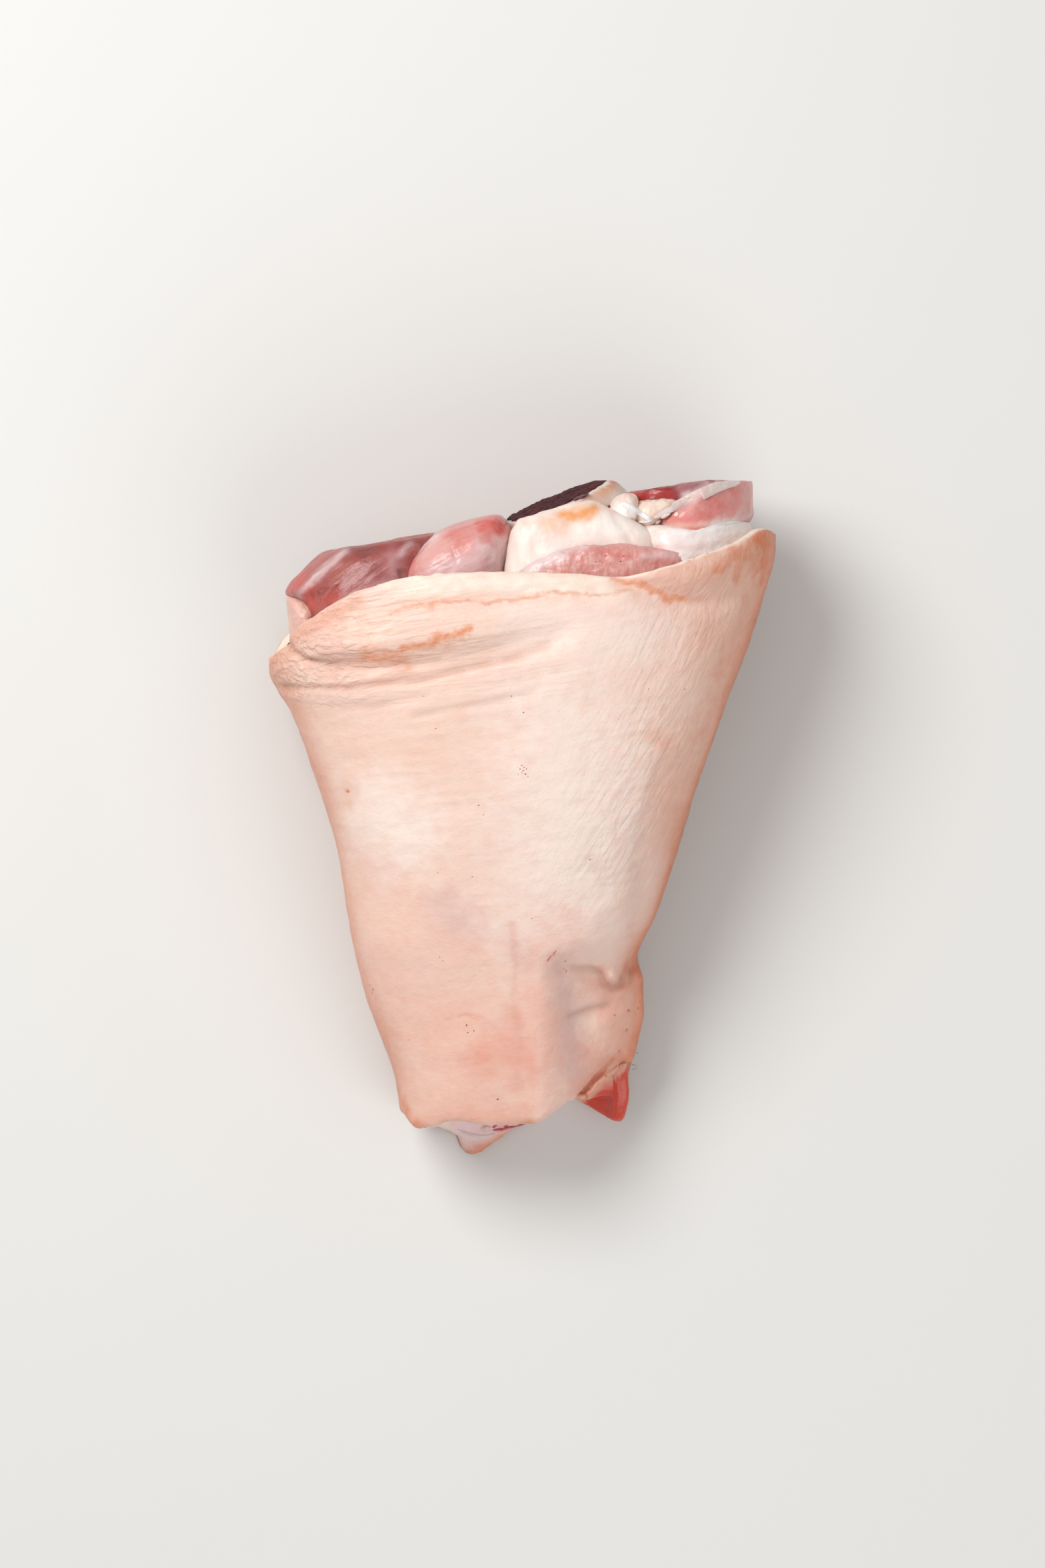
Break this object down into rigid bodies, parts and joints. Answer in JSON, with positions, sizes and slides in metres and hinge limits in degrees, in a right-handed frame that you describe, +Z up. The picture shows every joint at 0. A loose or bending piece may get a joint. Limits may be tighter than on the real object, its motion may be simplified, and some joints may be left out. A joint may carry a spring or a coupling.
{
  "type": "raw pork knuckle",
  "caption": "Raw bone-in pork knuckle with its rind on, wide at the sawn upper end where the muscles and leg bone show, tapering to the hock end with its torn rind flaps.",
  "frame": {"origin": "middle of the bounding box, on the plane that the underside rests on", "axes": "+X across the leg, towards the flank that ends in the red-lined flap of rind; +Y along the leg, towards the sawn upper end where the muscles show; +Z up, out of the side that faces the viewer"},
  "size_m": [0.1594, 0.2124, 0.0877],
  "materials": {
    "knuckle": "satin",
    "bone": "matte"
  },
  "bodies": {
    "root": {"knuckle": "knuckle", "bone": "bone"}
  },
  "joints": []
}
